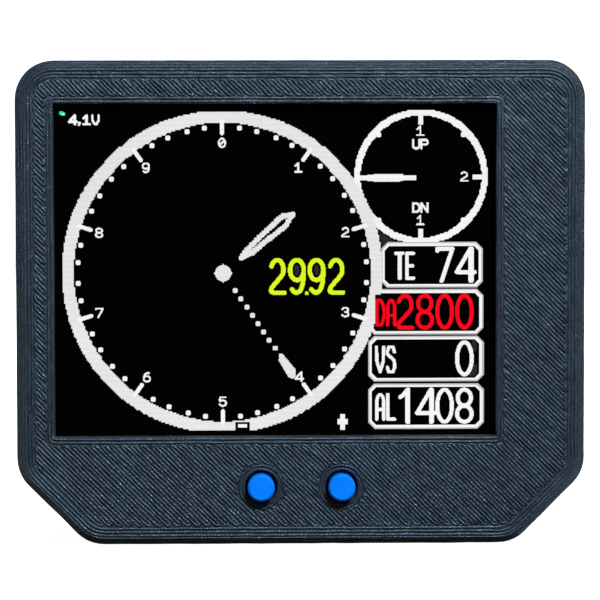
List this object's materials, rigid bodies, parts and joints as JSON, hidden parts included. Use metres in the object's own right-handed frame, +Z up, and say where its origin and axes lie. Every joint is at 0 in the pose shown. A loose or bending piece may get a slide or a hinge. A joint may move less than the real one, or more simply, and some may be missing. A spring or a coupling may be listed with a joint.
{
  "type": "digital aircraft altimeter",
  "caption": "Battery-powered digital aircraft altimeter: a printed case with cut lower corners, a colour display in its window and sprung push buttons below it.",
  "frame": {"origin": "middle of the base, under the middle of the whole depth with the buttons", "axes": "+X to the right of someone facing the display, +Y from the display to the back, +Z up"},
  "size_m": [0.074, 0.0218, 0.063],
  "materials": {
    "printed_case": "printed in fine lines, satin dark blue-grey",
    "blue_stem": "moulded bright blue",
    "display_glass": "polished black glass over a lit picture",
    "white_tray": "moulded white",
    "flex_film": "amber film",
    "foam": "open dark foam",
    "board_mask": "green solder mask",
    "chip_black": "moulded black",
    "tinned_metal": "bright tinned",
    "spring_steel": "rolled bright steel",
    "screw_steel": "turned steel",
    "insert_brass": "turned brass",
    "capacitor_ceramic": "fired ceramic",
    "pouch_foil": "pressed foil",
    "tape": "adhesive tape",
    "white_nylon": "moulded nylon",
    "red_cover": "red lead cover",
    "black_cover": "black lead cover"
  },
  "bodies": {
    "housing": {"front_housing": "printed_case", "rear_cover": "printed_case", "cover_screws": "screw_steel", "cover_inserts": "insert_brass", "board_screws": "screw_steel", "mount_inserts": "insert_brass", "display_cell": "display_glass", "display_backlight": "white_tray", "display_driver": "chip_black", "display_flex": "flex_film", "foam_strips": "foam", "main_board": "board_mask", "processor": "chip_black", "pressure_sensor": "spring_steel", "charger_chip": "chip_black", "regulator_chip": "chip_black", "chip_leads": "tinned_metal", "chip_capacitors": "capacitor_ceramic", "charging_shell": "spring_steel", "charging_tongue": "chip_black", "battery_cell": "pouch_foil", "battery_tape": "tape", "battery_socket": "white_nylon", "socket_pins": "tinned_metal", "battery_plug": "white_nylon", "positive_lead": "red_cover", "negative_lead": "black_cover", "left_switch_base": "chip_black", "right_switch_base": "chip_black", "left_switch_cover": "spring_steel", "right_switch_cover": "spring_steel", "left_switch_legs": "tinned_metal", "right_switch_legs": "tinned_metal", "left_contact_dome": "spring_steel", "right_contact_dome": "spring_steel"},
    "left_plunger": {"left_button": "blue_stem"},
    "right_plunger": {"right_button": "blue_stem"}
  },
  "joints": [
    {"name": "left_button_press", "type": "slide", "parent": "housing", "child": "left_plunger", "axis": [0, 1, 0], "range_m": [0, 0.00025], "stiffness_N_per_m": 6400, "deforming": ["left_contact_dome"]},
    {"name": "right_button_press", "type": "slide", "parent": "housing", "child": "right_plunger", "axis": [0, 1, 0], "range_m": [0, 0.00025], "stiffness_N_per_m": 6400, "deforming": ["right_contact_dome"]}
  ]
}
